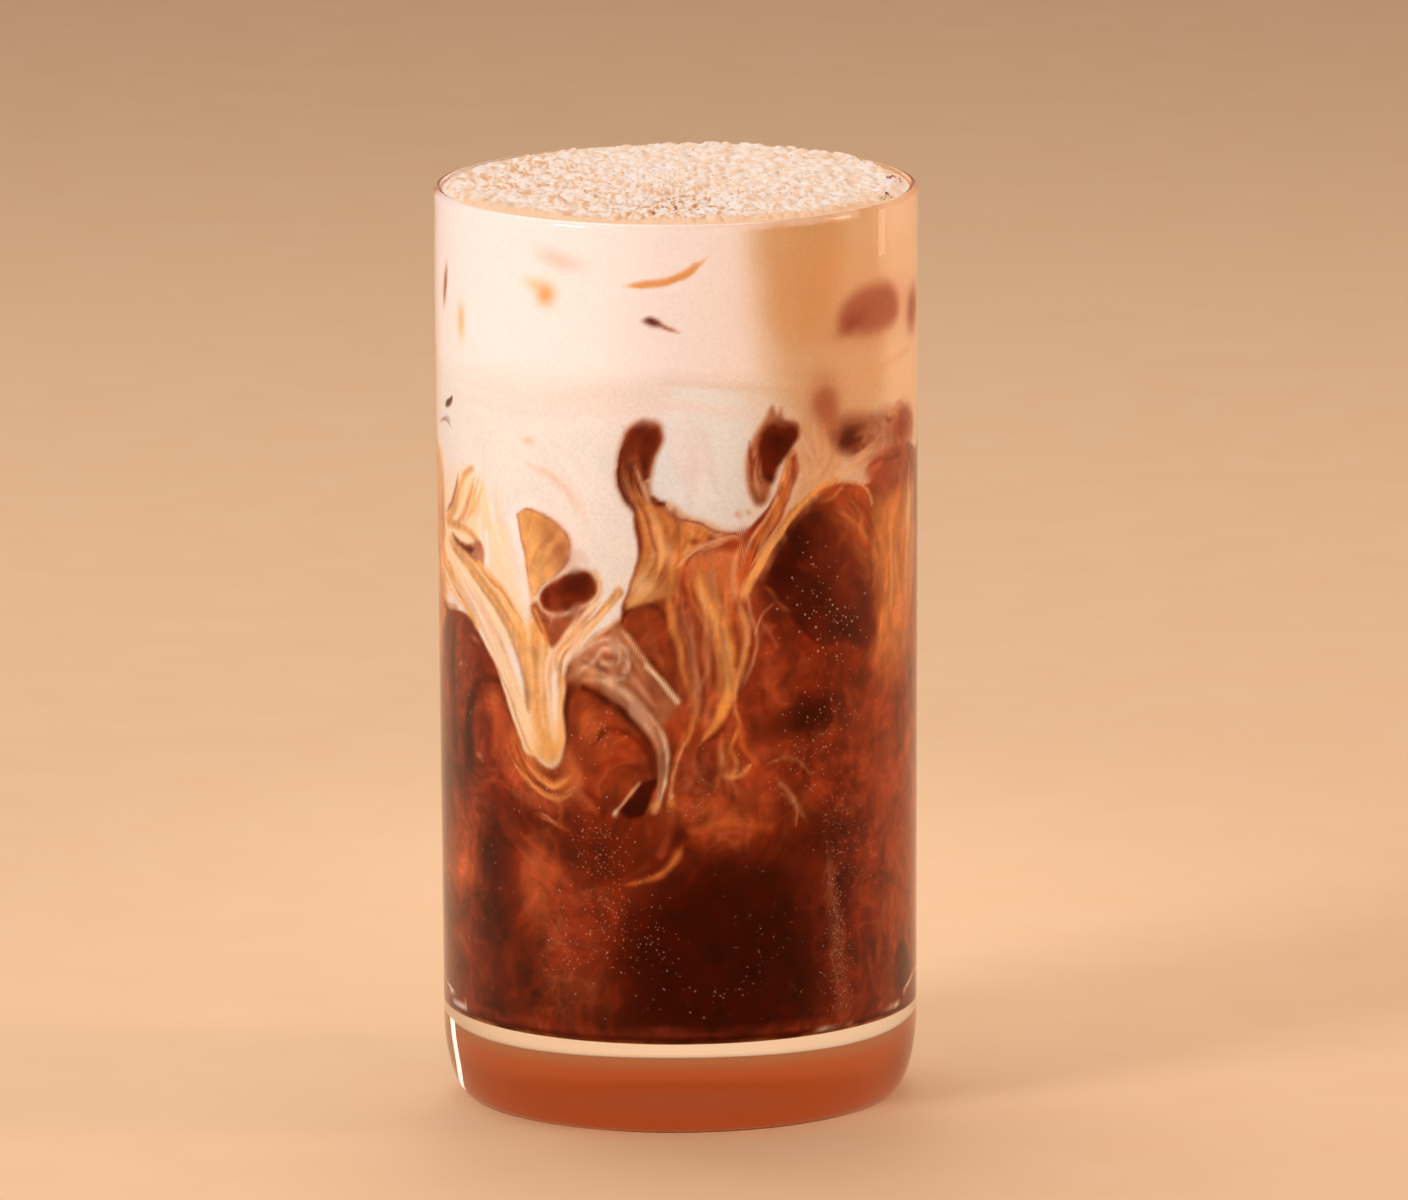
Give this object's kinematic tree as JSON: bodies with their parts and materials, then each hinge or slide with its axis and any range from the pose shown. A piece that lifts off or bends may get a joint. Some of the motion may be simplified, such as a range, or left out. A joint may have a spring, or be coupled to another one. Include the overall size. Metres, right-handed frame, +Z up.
{
  "type": "iced latte in a highball glass",
  "caption": "Iced latte in a straight clear highball glass: dark coffee at the foot, milk sinking into it in fingers, and a full head of foam level with the brim.",
  "frame": {"origin": "centre of the glass's flat foot, on the surface that it stands on", "axes": "+Z up along the glass's axis, -Y towards the side that the picture shows, +X to the right in the picture"},
  "size_m": [0.074, 0.074, 0.1424],
  "materials": {
    "clear_glass": "clear, fire-polished",
    "coffee": "glossy liquid, dark brown with a red glow",
    "milk": "smooth liquid, off-white streaked with amber",
    "foam": "fine bubbly foam, cream"
  },
  "bodies": {
    "root": {"glass": "clear_glass", "coffee": "coffee", "milk": "milk", "foam": "foam"}
  },
  "joints": []
}
